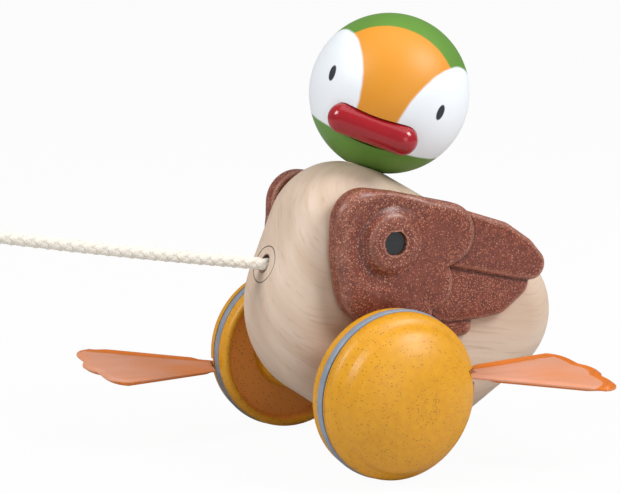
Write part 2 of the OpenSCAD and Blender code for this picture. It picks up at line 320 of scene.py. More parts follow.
def rubberwood():
    """Rubberwood, sawn, sanded and oiled: pale tan, soft growth bands and short brown pores along it."""
    material, tree, shader, place = new_material("rubberwood_sanded")
    # Growth bands are about 4 mm apart and pores 0.7 mm wide; both are drawn out along the duck
    grain_turn, grain_stretch = (-0.13, 0.9, 0), (7, 28, 1)
    along = add(tree, "Mapping", {"Vector": place, "Rotation": grain_turn, "Scale": grain_stretch},
                vector_type="TEXTURE")
    bands = add(tree, "TexNoise", {"Vector": along.outputs[0], "Scale": per_mm(4), "Detail": 3})
    pores = add(tree, "TexNoise", {"Vector": along.outputs[0], "Scale": per_mm(0.7), "Detail": 2})
    blotch = add(tree, "TexNoise", {"Vector": place, "Scale": per_mm(25), "Detail": 2})
    band_share = add(tree, "MapRange", {"Value": bands.outputs[0], 1: 0.35, 2: 0.68, 3: 0, 4: 0.75})
    pore_share = add(tree, "MapRange", {"Value": pores.outputs[0], 1: 0.55, 2: 0.8, 3: 0, 4: 0.5})
    pale = add(tree, "Mix", {0: blotch.outputs[0], 6: linear("#DCC8B8"), 7: linear("#D3BCA6")},
               data_type="RGBA")
    banded = add(tree, "Mix", {0: band_share.outputs[0], 6: pale.outputs[2], 7: linear("#CBB199")},
                 data_type="RGBA")
    grain = add(tree, "Mix", {0: pore_share.outputs[0], 6: banded.outputs[2], 7: linear("#B2947A")},
                data_type="RGBA")

    def from_axis(point):
        """Distance from the line along the cord through a point, in metres."""
        off = add(tree, "VectorMath", {0: place, 1: point * MM}, operation="SUBTRACT")
        axial = add(tree, "VectorMath", {0: off.outputs[0], 1: CORD_AHEAD}, operation="CROSS_PRODUCT")
        return off, add(tree, "VectorMath", {0: axial.outputs[0]}, operation="LENGTH").outputs["Value"]

    # The glue line round the cord's plug, and a painted shadow: a dark crescent in the gap of the plug's
    # hole above the cord
    from_plug, radius = from_axis(PLUG)
    off_line = add(tree, "Math", {0: radius, 1: PLUG_R * MM}, operation="SUBTRACT")
    distance = add(tree, "Math", {0: off_line.outputs[0]}, operation="ABSOLUTE")
    seam = add(tree, "MapRange", {"Value": distance.outputs[0], 1: 0.1 * MM, 2: 0.28 * MM, 3: 0.85, 4: 0})
    hole_radius = from_axis(PLUG + 0.9 * CORD_UP)[1]
    hole_shade = add(tree, "MapRange", {"Value": hole_radius, 1: 2.1 * MM, 2: 2.5 * MM, 3: 1, 4: 0})
    line = add(tree, "Math", {0: seam.outputs[0], 1: hole_shade.outputs[0]}, operation="MAXIMUM")
    ahead = add(tree, "VectorMath", {0: from_plug.outputs[0], 1: CORD_AHEAD}, operation="DOT_PRODUCT")
    front = add(tree, "Math", {0: ahead.outputs["Value"], 1: 0, 2: 8 * MM}, operation="COMPARE")
    glue_and_hole_shade = add(tree, "Math", {0: line.outputs[0], 1: front.outputs[0]}, operation="MULTIPLY")
    colour = add(tree, "Mix", {0: glue_and_hole_shade.outputs[0], 6: grain.outputs[2], 7: linear("#4A3220")},
                 data_type="RGBA")
    relief = add(tree, "Bump", {"Height": pores.outputs[0], "Strength": 0.05, "Distance": 0.2 * MM})
    tree.links.new(colour.outputs[2], shader.inputs["Base Color"])
    tree.links.new(relief.outputs[0], shader.inputs["Normal"])
    shader.inputs["Roughness"].default_value = 0.5
    shader.inputs["IOR"].default_value = 1.5
    return material


def pressed_wood(name, tones, flecks, roughness, dish_bounce_hex=None, wear_and_highlight_hex=None):
    """Dyed wood flour pressed in a mould and sealed: one strong colour with flecks of fibre in it."""
    material, tree, shader, place = new_material(name)
    cloud = add(tree, "TexNoise", {"Vector": place, "Scale": per_mm(2.2), "Detail": 4})
    cloud_share = add(tree, "MapRange", {"Value": cloud.outputs[0], 1: 0.35, 2: 0.65, 3: 0, 4: 1})
    mixed = add(tree, "Mix", {0: cloud_share.outputs[0], 6: linear(tones[0]), 7: linear(tones[1])},
                data_type="RGBA")
    colour = mixed.outputs[2]
    if dish_bounce_hex:
        # Painted reflected light: the hollow inner face of a wheel, between the hub and the lip, is painted
        # more orange than the rest, standing in for the yellow light bounced round the hollow
        spoke = add(tree, "VectorMath", {0: place, 1: AXLE * MM}, operation="SUBTRACT")
        spoke = add(tree, "VectorMath", {0: spoke.outputs[0], 1: (0, 1, 1)}, operation="MULTIPLY")
        radius = add(tree, "VectorMath", {0: spoke.outputs[0]}, operation="LENGTH").outputs["Value"]
        past_hub = add(tree, "MapRange", {"Value": radius, 1: HUB_R * MM, 2: (HUB_R + 1) * MM, 3: 0, 4: 1})
        dish_edge = ((DISH_R - 0.2) * MM, (DISH_R + 0.3) * MM)
        in_dish = add(tree, "MapRange", {"Value": radius, 1: dish_edge[0], 2: dish_edge[1], 3: 1, 4: 0})
        dish = add(tree, "Math", {0: past_hub.outputs[0], 1: in_dish.outputs[0]}, operation="MULTIPLY")
        colour = add(tree, "Mix", {0: dish.outputs[0], 6: colour, 7: linear(dish_bounce_hex)},
                     data_type="RGBA").outputs[2]
    # Each kind of fleck: colour, share of the cells that have one, cell and fleck size in millimetres
    for fleck_hex, share, cell, size in flecks:
        shifted = add(tree, "Mapping", {"Vector": place, "Location": (cell, 2 * cell, 3 * cell)})
        cells = add(tree, "TexVoronoi", {"Vector": shifted.outputs[0], "Scale": per_mm(cell)})
        pick = add(tree, "SeparateColor", {"Color": cells.outputs["Color"]})
        chosen = add(tree, "Math", {0: pick.outputs[0], 1: share}, operation="LESS_THAN")
        reach = size / cell / 2
        off = cells.outputs["Distance"]
        dot = add(tree, "MapRange", {"Value": off, 1: reach * 0.5, 2: reach * 1.3, 3: 0.9, 4: 0})
        fleck = add(tree, "Math", {0: chosen.outputs[0], 1: dot.outputs[0]}, operation="MULTIPLY")
        colour = add(tree, "Mix", {0: fleck.outputs[0], 6: colour, 7: linear(fleck_hex)},
                     data_type="RGBA").outputs[2]
    if wear_and_highlight_hex:
        # Painted highlight and painted shade: the raised edges are painted paler, as lit edges, and the
        # steps between the feathers are painted darker, as shaded creases
        edges = add(tree, "NewGeometry", {}).outputs["Pointiness"]
        edge_highlight = add(tree, "MapRange", {"Value": edges, 1: 0.504, 2: 0.518, 3: 0, 4: 0.42})
        colour = add(tree, "Mix", {0: edge_highlight.outputs[0], 6: colour, 7: linear(wear_and_highlight_hex)},
                     data_type="RGBA").outputs[2]
        crease_shade = add(tree, "MapRange", {"Value": edges, 1: 0.482, 2: 0.496, 3: 0.65, 4: 0})
        colour = add(tree, "Mix", {0: crease_shade.outputs[0], 6: colour, 7: linear("#2E130E")},
                     data_type="RGBA").outputs[2]
    fibre = add(tree, "TexNoise", {"Vector": place, "Scale": per_mm(0.6), "Detail": 2})
    relief = add(tree, "Bump", {"Height": fibre.outputs[0], "Strength": 0.15, "Distance": 0.15 * MM})
    tree.links.new(colour, shader.inputs["Base Color"])
    tree.links.new(relief.outputs[0], shader.inputs["Normal"])
    shader.inputs["Roughness"].default_value = roughness
    shader.inputs["IOR"].default_value = 1.5
    return material


def head_direction(left, back, up):
    """A direction in the head's own frame, in the row frame."""
    head_frame = Matrix.Rotation(-NECK_LEAN, 3, "X") @ Matrix.Rotation(HEAD_TURN, 3, "Z")
    return (head_frame @ Vector((left, back, up))).normalized()


def head_enamel():
    """Brushed enamel on a turned ball: green, an orange face, two white eye patches and dark pupils."""
    material, tree, shader, place = new_material("head_enamel")
    spot = add(tree, "VectorMath", {0: place, 1: HEAD * MM}, operation="SUBTRACT")
    facing = add(tree, "VectorMath", {0: spot.outputs[0]}, operation="NORMALIZE").outputs[0]
    wobble = add(tree, "TexNoise", {"Vector": place, "Scale": per_mm(6), "Detail": 1})
    edge = 0.012

    def inside(direction, degrees):
        """Share of paint inside a circle on the ball, with a slightly uneven brushed edge."""
        along = add(tree, "VectorMath", {0: facing, 1: direction}, operation="DOT_PRODUCT")
        uneven = add(tree, "Math", {0: wobble.outputs[0], 1: 0.02, 2: along.outputs["Value"]},
                     operation="MULTIPLY_ADD").outputs[0]
        limit = math.cos(math.radians(degrees)) + 0.01
        share = add(tree, "MapRange", {"Value": uneven, 1: limit - edge, 2: limit + edge, 3: 0, 4: 1})
        return share.outputs[0]

    def over(colour, paint_hex, share):
        """Paints one more coat over a colour."""
        return add(tree, "Mix", {0: share, 6: colour, 7: linear(paint_hex)}, data_type="RGBA").outputs[2]

    tone = add(tree, "TexNoise", {"Vector": place, "Scale": per_mm(14), "Detail": 2})
    green = add(tree, "Mix", {0: tone.outputs[0], 6: linear("#639332"), 7: linear("#527F26")},
                data_type="RGBA")
    chin = inside(head_direction(0, 0.235, -0.972), 57.7)
    face = inside(head_direction(0, -0.977, -0.215), 60.7)
    colour = over(green.outputs[2], "#DC9020", face)
    # The patches were masked by hand, so they aren't quite alike
    colour = over(colour, "#EAEFF4", inside(head_direction(-0.854, -0.479, -0.204), 43.1))
    colour = over(colour, "#EAEFF4", inside(head_direction(0.903, -0.327, -0.279), 50.9))
    colour = add(tree, "Mix", {0: chin, 6: colour, 7: green.outputs[2]}, data_type="RGBA").outputs[2]
    for side in (-1, 1):
        eye = head_direction(side * 0.70, -0.71, -0.07)
        across = head_direction(0.71, side * 0.70, 0)
        above = eye.cross(across)
        reach = []
        for direction, half in ((across, 0.055), (above, 0.1)):
            along = add(tree, "VectorMath", {0: facing, 1: direction}, operation="DOT_PRODUCT")
            offset = add(tree, "Math", {0: along.outputs["Value"], 1: eye.dot(direction)},
                         operation="SUBTRACT")
            scaled = add(tree, "Math", {0: offset.outputs[0], 1: half}, operation="DIVIDE")
            reach.append(add(tree, "Math", {0: scaled.outputs[0], 1: 2}, operation="POWER").outputs[0])
        oval = add(tree, "Math", {0: reach[0], 1: reach[1]}, operation="ADD")
        dot = add(tree, "MapRange", {"Value": oval.outputs[0], 1: 0.8, 2: 1.15, 3: 1, 4: 0}).outputs[0]
        near = inside(eye, 15)
        pupil = add(tree, "Math", {0: dot, 1: near}, operation="MULTIPLY")
        colour = over(colour, "#22262C", pupil.outputs[0])
    tree.links.new(colour, shader.inputs["Base Color"])
    shader.inputs["Roughness"].default_value = 0.48
    shader.inputs["IOR"].default_value = 1.5
    return material


def bill_enamel():
    """Red enamel, dipped: glossy, a little darker where it has run thin."""
    material, tree, shader, place = new_material("bill_enamel")
    tone = add(tree, "TexNoise", {"Vector": place, "Scale": per_mm(8), "Detail": 2})
    red = add(tree, "Mix", {0: tone.outputs[0], 6: linear("#A81A25"), 7: linear("#8E1620")},
              data_type="RGBA")
    tree.links.new(red.outputs[2], shader.inputs["Base Color"])
    shader.inputs["Roughness"].default_value = 0.18
    shader.inputs["IOR"].default_value = 1.5
    return material


def tyre_rubber_grey():
    """Moulded grey rubber, tumbled: an even blue-grey, a little dusty, with a broad dull sheen."""
    material, tree, shader, place = new_material("tyre_rubber")
    dust = add(tree, "TexNoise", {"Vector": place, "Scale": per_mm(5), "Detail": 4})
    share = add(tree, "MapRange", {"Value": dust.outputs[0], 1: 0.35, 2: 0.7, 3: 0, 4: 1})
    colour = add(tree, "Mix", {0: share.outputs[0], 6: linear("#7F8998"), 7: linear("#8A94A3")},
                 data_type="RGBA")
    grain = add(tree, "TexNoise", {"Vector": place, "Scale": per_mm(0.6), "Detail": 2})
    relief = add(tree, "Bump", {"Height": grain.outputs[0], "Strength": 0.08, "Distance": 0.1 * MM})
    tree.links.new(colour.outputs[2], shader.inputs["Base Color"])
    tree.links.new(relief.outputs[0], shader.inputs["Normal"])
    shader.inputs["Roughness"].default_value = 0.5
    shader.inputs["IOR"].default_value = 1.52
    return material


def foot_rubber_orange():
    """Soft orange rubber, moulded: a frosted web with faint streaks whose pale salmon is a painted sheen,
    and polished edges in the rubber's deeper orange.
    """
    material, tree, shader, place = new_material("foot_rubber")
    flow = add(tree, "Mapping", {"Vector": place, "Scale": (1, 0.12, 1)})
    streaks = add(tree, "TexNoise", {"Vector": flow.outputs[0], "Scale": per_mm(2.5), "Detail": 3})
    # Painted sheen: the web is painted a paler salmon than the rubber, standing in for the white light that
    # it reflects at a grazing angle
    sheened_web = add(tree, "Mix", {0: streaks.outputs[0], 6: linear("#D69B80"), 7: linear("#CC8868")},
              data_type="RGBA")
    blush = add(tree, "TexNoise", {"Vector": place, "Scale": per_mm(22), "Detail": 1})
    blush_share = add(tree, "MapRange", {"Value": blush.outputs[0], 1: 0.45, 2: 0.75, 3: 0, 4: 0.8})
    sheened_web = add(tree, "Mix", {0: blush_share.outputs[0], 6: sheened_web.outputs[2], 7: linear("#D97F3C")},
              data_type="RGBA")
    ridge_share = add(tree, "Attribute", {}, attribute_name="ridge")
    steep = add(tree, "MapRange", {"Value": ridge_share.outputs["Fac"], 1: 0.05, 2: 0.3, 3: 0, 4: 1})
    colour = add(tree, "Mix", {0: steep.outputs[0], 6: sheened_web.outputs[2], 7: linear("#D06E12")},
                 data_type="RGBA")
    rough = add(tree, "MapRange", {"Value": steep.outputs[0], 3: 0.55, 4: 0.4})
    tree.links.new(colour.outputs[2], shader.inputs["Base Color"])
    tree.links.new(rough.outputs[0], shader.inputs["Roughness"])
    shader.inputs["IOR"].default_value = 1.52
    return material


def cotton_cord():
    """Braided cotton: soft off-white yarn, greyer down between the strands, fibres along each strand."""
    material, tree, shader, place = new_material("cotton_braid")
    fuzz = add(tree, "TexNoise", {"Vector": place, "Scale": per_mm(0.4), "Detail": 3})
    colour = add(tree, "Mix", {0: fuzz.outputs[0], 6: linear("#F0EBE1"), 7: linear("#DDD5C7")},
                 data_type="RGBA")
    relief = add(tree, "Bump", {"Height": fuzz.outputs[0], "Strength": 0.3, "Distance": 0.15 * MM})
    tree.links.new(colour.outputs[2], shader.inputs["Base Color"])
    tree.links.new(relief.outputs[0], shader.inputs["Normal"])
    shader.inputs["Roughness"].default_value = 0.9
    shader.inputs["IOR"].default_value = 1.53
    shader.inputs["Sheen Weight"].default_value = 0.2
    return material


def pin_steel(name, base_hex, wear_and_highlight_hex, metallic, roughness):
    """Drawn or painted steel: fine marks along the pin."""
    material, tree, shader, place = new_material(name)
    marks = add(tree, "TexNoise", {"Vector": place, "Scale": per_mm(0.5), "Detail": 3})
    colour = add(tree, "Mix", {0: marks.outputs[0], 6: linear(base_hex), 7: linear(wear_and_highlight_hex)},
                 data_type="RGBA")
    rough = add(tree, "MapRange", {"Value": marks.outputs[0], 3: roughness - 0.08, 4: roughness + 0.08})
    tree.links.new(colour.outputs[2], shader.inputs["Base Color"])
    tree.links.new(rough.outputs[0], shader.inputs["Roughness"])
    shader.inputs["Metallic"].default_value = metallic
    return material


wood = rubberwood()
yellow_tones = ("#DA9A14", "#D39214")
yellow_flecks = (("#80500F", 0.5, 0.8, 0.32), ("#54330C", 0.4, 0.95, 0.34))
yellow = pressed_wood("yellow_pressed_wood", yellow_tones, yellow_flecks, 0.42)
# The wheel discs carry painted reflected light in the hollow of their inner face
yellow_wheel = pressed_wood("yellow_pressed_wheel", yellow_tones, yellow_flecks, 0.45, "#EFA04A")
brown_flecks = (("#4A2019", 0.8, 0.75, 0.5), ("#BF7A5E", 0.7, 0.62, 0.44), ("#E0B094", 0.4, 0.8, 0.38))
# The wings carry a painted highlight on their raised edges and painted shade in the steps between their
# feathers
brown = pressed_wood("brown_pressed_wood", ("#804131", "#6C3427"), brown_flecks, 0.38, wear_and_highlight_hex="#B98672")
head_paint = head_enamel()
bill_paint = bill_enamel()
tyre_rubber = tyre_rubber_grey()
foot_rubber = foot_rubber_orange()
cotton = cotton_cord()
dark_pin = pin_steel("painted_steel_pin", "#16181B", "#25282C", 0.0, 0.25)
bright_pin = pin_steel("drawn_steel_pin", "#B9BCC0", "#A4A8AD", 1.0, 0.35)

node_finish = {
    "body": wood, "axle": wood, "neck_dowel": wood, "cord_plug": wood, "pull_bead": wood,
    "wheel_left": yellow_wheel, "wheel_right": yellow_wheel,
    "cap_left": yellow, "cap_right": yellow, "tail_roller": yellow,
    "tyre_left": tyre_rubber, "tyre_right": tyre_rubber, "head": head_paint, "bill": bill_paint,
    "wing_pin_left": dark_pin, "wing_pin_right": dark_pin, "foot_pin_left": bright_pin,
    "foot_pin_right": bright_pin, "neck_pin": bright_pin, "roller_pin": bright_pin,
    "wing_left": brown, "wing_right": brown, "foot_left": foot_rubber, "foot_right": foot_rubber,
    "cord": cotton, "end_knot": cotton,
}
for node_name, finish in node_finish.items():
    nodes[node_name].data.materials.clear()
    nodes[node_name].data.materials.append(finish)

# Pull cord


def cord_point(distance):
    """Point on the cord that many millimetres from the plug, in millimetres."""
    for (near, near_sag), (far, far_sag) in zip(CORD_ROUTE, CORD_ROUTE[1:]):
        if distance <= far:
            break
    t = (distance - near) / (far - near)
    return PLUG + distance * CORD_AHEAD + (near_sag + t * (far_sag - near_sag)) * CORD_UP


def braid_strand(way, number, lay_mm, start, end):
    """One flat strand of the braid: it winds one way and dips under every second strand it meets."""
    strand_w = 1.55
    strand_t = 0.9
    weave = 0.2
    middle_r = CORD_D / 2 - strand_t / 2 - weave
    rings = []
    steps = int((end - start) / 0.7)
    for i in range(steps + 1):
        s = start + (end - start) * i / steps
        turn = way * 2 * math.pi * s / lay_mm + number * math.pi / 2
        out = math.cos(turn) * CORD_SIDE + math.sin(turn) * CORD_UP
        around = -math.sin(turn) * CORD_SIDE + math.cos(turn) * CORD_UP
        lift = middle_r + way * weave * math.cos(8 * math.pi * s / lay_mm)
        pitch = math.atan2(2 * math.pi * middle_r * way, lay_mm)
        wide = math.cos(pitch) * around - math.sin(pitch) * CORD_AHEAD
        centre = cord_point(s) + lift * out
        rings.append([
            centre + strand_w / 2 * math.cos(a) * wide + strand_t / 2 * math.sin(a) * out
            for a in (2 * math.pi * k / 8 for k in range(8))
        ])
    return skin(rings)


def round_core(radius, start, end):
    """Plain round core that the strands lie on."""
    rings = []
    for i in range(61):
        s = start + (end - start) * i / 60
        rings.append([
            cord_point(s) + radius * (math.cos(a) * CORD_SIDE + math.sin(a) * CORD_UP)
            for a in (2 * math.pi * k / 12 for k in range(12))
        ])
    return skin(rings)


cord_start, cord_end = CORD_ROUTE[0][0], CORD_ROUTE[-1][0]
strands = [braid_strand(way, n, BRAID_LAY, cord_start, cord_end)
           for way in (-1, 1) for n in range(BRAID_STRANDS)]
cord_mesh = to_mesh("braided_cord", round_core(CORD_D * 0.4, cord_start, cord_end), *strands)
cord = new_piece("braided_cord", cord_mesh, "duck", cotton, "cotton_cord", "cord")


def knot_rings():
    """A tight overhand knot: a thick cord wound about two and a half times round, thinner at both ends."""
    rings = []
    turns = 2.6
    steps = 90
    centre_s = cord_end + KNOT_R * 0.55
    coil_r = KNOT_R - 1.75
    tube_r = 1.7
    spine = []
    for i in range(steps + 1):
        t = i / steps
        a = 2 * math.pi * turns * t
        along = (t - 0.5) * 3.4 + 0.7 * math.sin(a * 0.5)
        spine.append(PLUG + (centre_s + along) * CORD_AHEAD
                     + coil_r * (math.cos(a) * CORD_SIDE + math.sin(a) * CORD_UP))
    for i, spot in enumerate(spine):
        ahead = (spine[min(i + 1, steps)] - spine[max(i - 1, 0)]).normalized()
        side = ahead.cross(CORD_AHEAD).normalized()
        over = side.cross(ahead)
        shrink = min(1, 0.35 + 6 * min(i, steps - i) / steps)
        rings.append([
            spot + shrink * tube_r * (math.cos(b) * side + math.sin(b) * over)
            for b in (2 * math.pi * k / 12 for k in range(12))
        ])
    return rings


knot_mesh = to_mesh("overhand_knot", skin(knot_rings()))
knot = new_piece("overhand_knot", knot_mesh, "duck", cotton, "cotton_cord", "end_knot")

# Body


def body_shell():
    """A slab whose outline wraps the body's discs, with both edges widely rounded."""
    rings = []
    for side in (-1, 1):
        for k in range(13):
            a = math.pi / 2 * (k / 12 if side > 0 else k / 12 - 1)
            x = side * (BODY_HALF - BODY_EDGE) + BODY_EDGE * math.sin(a)
            rings.append(lobe_ring(BODY_DISCS, BODY_EDGE * (1 - math.cos(a)), x, points=240))
    return skin(rings)


def body_mesh(name):
    """The sanded body with its bores for the axle, neck, plug and roller."""
    across = Vector((BODY_HALF + 1, 0, 0))
    ball = bmesh.new()
    bmesh.ops.create_uvsphere(ball, u_segments=72, v_segments=36, radius=(HEAD_R + HEAD_GAP) * MM)
    bmesh.ops.translate(ball, verts=ball.verts, vec=HEAD * MM)
    room_x, room_r = ROLLER_ROOM
    room = Vector((room_x, 0, 0))
    bores = (
        rod_shell(AXLE - across, AXLE + across, AXLE_R + RUN_GAP),
        ball,
        rod_shell(HEAD - (HEAD_R + DOWEL_SPAN) * NECK, HEAD - (HEAD_R - DOWEL_SPAN) * NECK,
                  DOWEL_R + RUN_GAP),
        rod_shell(PLUG - PLUG_SPAN[0] * CORD_AHEAD, PLUG + PLUG_SPAN[1] * CORD_AHEAD, PLUG_R),
        rod_shell(ROLLER - room, ROLLER + room, room_r),
        box_shell((-room_x, ROLLER.y - room_r, ROLLER.z - room_r), (room_x, ROLLER.y + room_r, ROLLER.z)),
    )
    return carved(name, body_shell(), bores)


new_piece("body_sanded", body_mesh("body_sanded"), "duck", wood, "rubberwood", "body")

# Wings

FRONT_ROUND = 3
COVERT_ROUND = 2.6
FEATHER_ROUND = 1.7


def pillow(discs, thick, edge):
    """A lobe with a flat back, an outer edge rounded by that much and a slight crown."""
    small = min(d[2] for d in discs)
    rings = [lobe_ring(discs, 0.6, WING_X), lobe_ring(discs, 0, WING_X + 0.6)]
    for k in range(9):
        a = math.pi / 2 * k / 8
        rings.append(lobe_ring(discs, edge * (1 - math.cos(a)), WING_X + thick - edge + edge * math.sin(a)))
    for share in (0.3, 0.6, 0.95):
        crown_x = WING_X + thick + 0.3 * math.sin(share * math.pi / 2)
        rings.append(lobe_ring(discs, edge + share * (small - edge), crown_x))
    return skin(rings)


def boss_relief(back, up):
    """Height added at a place beside the wing pin: a raised disc, and a hollow in front of it and above."""
    r = math.hypot(back, up)
    raised = BOSS_H * smoothstep(10.4, 6, r)
    to_tail = (0.85 * back - 0.5 * up) / max(r, 0.1)
    hollow = HOLLOW_D * smoothstep(8, 11.5, r) * smoothstep(16.5, 12, r) * smoothstep(0.75, -0.15, to_tail)
    return raised - hollow


def wing_mesh(name):
    """Coverts and three long feathers, blended where they meet, with the ring round the pin."""
    shells = [pillow(COVERTS[0], WING_T, FRONT_ROUND)]
    shells += [pillow(discs, WING_T, COVERT_ROUND) for discs in COVERTS[1:]]
    shells += [pillow(discs, thick, FEATHER_ROUND) for discs, thick in zip(FEATHERS, FEATHER_T)]
    blank = bpy.data.objects.new(name, to_mesh(name, *shells))
    bpy.context.scene.collection.objects.link(blank)
    blend = blank.modifiers.new("press", "REMESH")
    blend.mode = "VOXEL"
    blend.voxel_size = 0.38 * MM
    ease = blank.modifiers.new("ease", "SMOOTH")
    ease.factor = 0.5
    ease.iterations = 2
    bpy.context.view_layer.update()
    pressed = bpy.data.meshes.new_from_object(blank.evaluated_get(bpy.context.evaluated_depsgraph_get()))
    bpy.data.objects.remove(blank)
    pin_y, pin_z = (AXLE.y + WING_PIN[0]) * MM, WING_PIN[1] * MM
    for vertex in pressed.vertices:
        if vertex.co.x > (WING_X + WING_T - 2.5) * MM:
            back, up = (vertex.co.y - pin_y) / MM, (vertex.co.z - pin_z) / MM
            vertex.co.x += boss_relief(back, up) * MM
            if math.hypot(back, up) < PIN_HOLE_R:
                vertex.co.x = (WING_X + WING_T - 2) * MM
    return pressed


def mirrored(mesh, name):
    """The same mesh on the duck's other side."""
    other = mesh.copy()
    other.name = name
    other.transform(Matrix.Scale(-1, 4, (1, 0, 0)))
    other.flip_normals()
    return other


left_wing_mesh = wing_mesh("wing_left_shaped")
right_wing_mesh = mirrored(left_wing_mesh, "wing_right_shaped")
new_piece("wing_left_shaped", left_wing_mesh, "left_wing", brown, "brown_pressed_wood", "wing_left")
new_piece("wing_right_shaped", right_wing_mesh, "right_wing", brown, "brown_pressed_wood", "wing_right")

# Wheels


def smooth_line(points, per_span=8):
    """Points on a smooth line through the given ones."""
    ends = [points[0]] + list(points) + [points[-1]]
    line = []
    for p0, p1, p2, p3 in zip(ends, ends[1:], ends[2:], ends[3:]):
        for k in range(per_span):
            t = k / per_span
            line.append(tuple(
                b + 0.5 * t * (c - a + t * (2 * a - 5 * b + 4 * c - d + t * (3 * (b - c) + d - a)))
                for a, b, c, d in zip(p0, p1, p2, p3)
            ))
    return line + [points[-1]]


def turned(profile, steps=160):
    """Closed shell turned round the axle from a profile of (x, r) points."""
    turns = [2 * math.pi * k / steps for k in range(steps)]
    rings = []
    for x, r in profile:
        r = max(r, 0.02)
        rings.append([(x, r * math.cos(a), r * math.sin(a)) for a in turns])
    return skin(rings, caps=profile[0] != profile[-1])


def wheel_place(side):
    """From a wheel's own frame, with x outwards and its foot along y, to the row frame."""
    turn = (0 if side > 0 else math.pi) - WHEEL_PHASE
    flip = Matrix.Scale(-1 if side < 0 else 1, 4, (1, 0, 0))
    return Matrix.Translation(AXLE * MM) @ Matrix.Rotation(turn, 4, "X") @ flip


def on_wheel(mesh, side):
    """Moves a mesh from the wheel's own frame to its place."""
    mesh.transform(wheel_place(side))
    if side < 0:
        mesh.flip_normals()
    return mesh


def dome_profile():
    """Outside of a wheel: a rounded shoulder that runs through a shallow cove into the crown."""
    crown = [
        (0, DOME_R), (0.8, DOME_R), (2.2, 24.85), (3.3, 24.08), (4.05, 23.2), (4.75, 22.5),
        (5.6, 22.05), (6.9, 21.45), (8.2, 20.25), (9.7, 18), (11.8, 14), (13.7, 8), (DOME_H, 0),
    ]
    return [(DISC_X, 0)] + [(DISC_X + h, r) for h, r in smooth_line(crown)]


def dome_mesh(name):
    """The dome with its foot's slot: a wide chamber round the hinge, then a narrow mouth."""
    chamber = box_shell((DISC_X - 1, CHAMBER_S[0], FOOT_LIFT - CHAMBER_HALF),
                        (CHAMBER_X, CHAMBER_S[1], FOOT_LIFT + CHAMBER_HALF))
    mouth = box_shell((DISC_X - 1, MOUTH_S[0], FOOT_LIFT - MOUTH_HALF),
                      (MOUTH_X, MOUTH_S[1], FOOT_LIFT + MOUTH_HALF))
    return carved(name, turned(dome_profile()), (chamber, mouth))


def disc_profile():
    """The pressed disc: hub, dished inner face, rounded lip and the groove under the tyre band."""
    hub = [
        (HUB_X, AXLE_R), (HUB_X, 8.7), (17.9, HUB_NECK_R), (HUB_STEP_X, HUB_NECK_R),
        (HUB_STEP_X, HUB_R - 1.9), (27.2, HUB_R - 0.9), (27.8, HUB_R - 0.2), (28.6, HUB_R),
    ]
    inner = [
        (LIP_X + 4, HUB_R), (LIP_X + 4, 20.5), (LIP_X + 3.6, 22), (LIP_X + 2, 22.7), (LIP_X + 0.6, 22.9),
    ]
    lip = [
        (LIP_X + 0.1, 23.3), (LIP_X, 23.9), (LIP_X + 0.25, 24.6), (LIP_X + 1, 25.1), (LIP_X + 2.2, FLANK_R),
    ]
    rim = [
        (TYRE_X[0], FLANK_R), (TYRE_X[0], GROOVE_R), (TYRE_X[1], GROOVE_R), (TYRE_X[1], FLANK_R),
        (DISC_X, FLANK_R),
    ]
    return hub + inner + smooth_line(lip, 4) + rim + [(DISC_X, AXLE_R), (HUB_X, AXLE_R)]


def band_profile():
    """The tyre: a rubber band with a softly crowned tread that stands a little proud of its groove."""
    low, high = TYRE_X[0] + 0.12, TYRE_X[1] - 0.65
    middle, half = (low + high) / 2, (high - low) / 2
    tread = [
        (middle + half * math.sin(a), FLANK_R - 0.25 + (TYRE_R - FLANK_R + 0.25) * math.cos(a) ** 0.6)
        for a in (math.radians(-88 + 8 * k) for k in range(23))
    ]
    base = [(middle - half, 23.7)]
    return base + tread + [(middle + half, 23.7)] + base


for side, hand in ((1, "left"), (-1, "right")):
    new_piece(f"dome_{hand}", on_wheel(dome_mesh(f"dome_{hand}"), side), "wheel_set", yellow,
              "yellow_pressed_wood", f"cap_{hand}")
    new_piece(f"disc_{hand}", on_wheel(to_mesh(f"disc_{hand}", turned(disc_profile())), side), "wheel_set",
              yellow_wheel, "yellow_pressed_wood", f"wheel_{hand}")
    new_piece(f"tyre_band_{hand}", on_wheel(to_mesh(f"tyre_band_{hand}", turned(band_profile())), side),
              "wheel_set", tyre_rubber, "tyre_rubber", f"tyre_{hand}")

# Feet

TOE_X = FOOT_WIDTH / 2 - TOE_R
TOE_S = FOOT_REACH - TOE_R
# Steps in from an edge, in millimetres, that the ridge's curve needs
EDGE_STEPS = (0, 0.2, 0.4, 0.6, 0.9, 1.2, 1.5, 1.8, 2.1, 2.4, 2.8, 3.3, 3.8, 4.1, 4.5)


def toe_line(t):
    """Point on the scalloped end of a foot, from t = -1 at its inner side to 1 at its outer side."""
    hub = Vector((TOE_OFF, 42))
    notch_s = 63.9
    a = t * math.atan2(FOOT_WIDTH / 2, TOE_S - SIDE_TOE_BACK - hub.y)
    direction = Vector((math.sin(a), math.cos(a)))
    best = (notch_s - hub.y) / math.cos(a) if abs(math.tan(a)) < TOE_X / (notch_s - hub.y) else 0
    for x in (-TOE_X, 0, TOE_X):
        to_toe = Vector((x, TOE_S - (SIDE_TOE_BACK if x else 0) - hub.y))
        along = to_toe.dot(direction)
        off = to_toe.length_squared - along * along
        if off < TOE_R * TOE_R:
            best = max(best, along + math.sqrt(TOE_R * TOE_R - off))
    return hub + best * direction


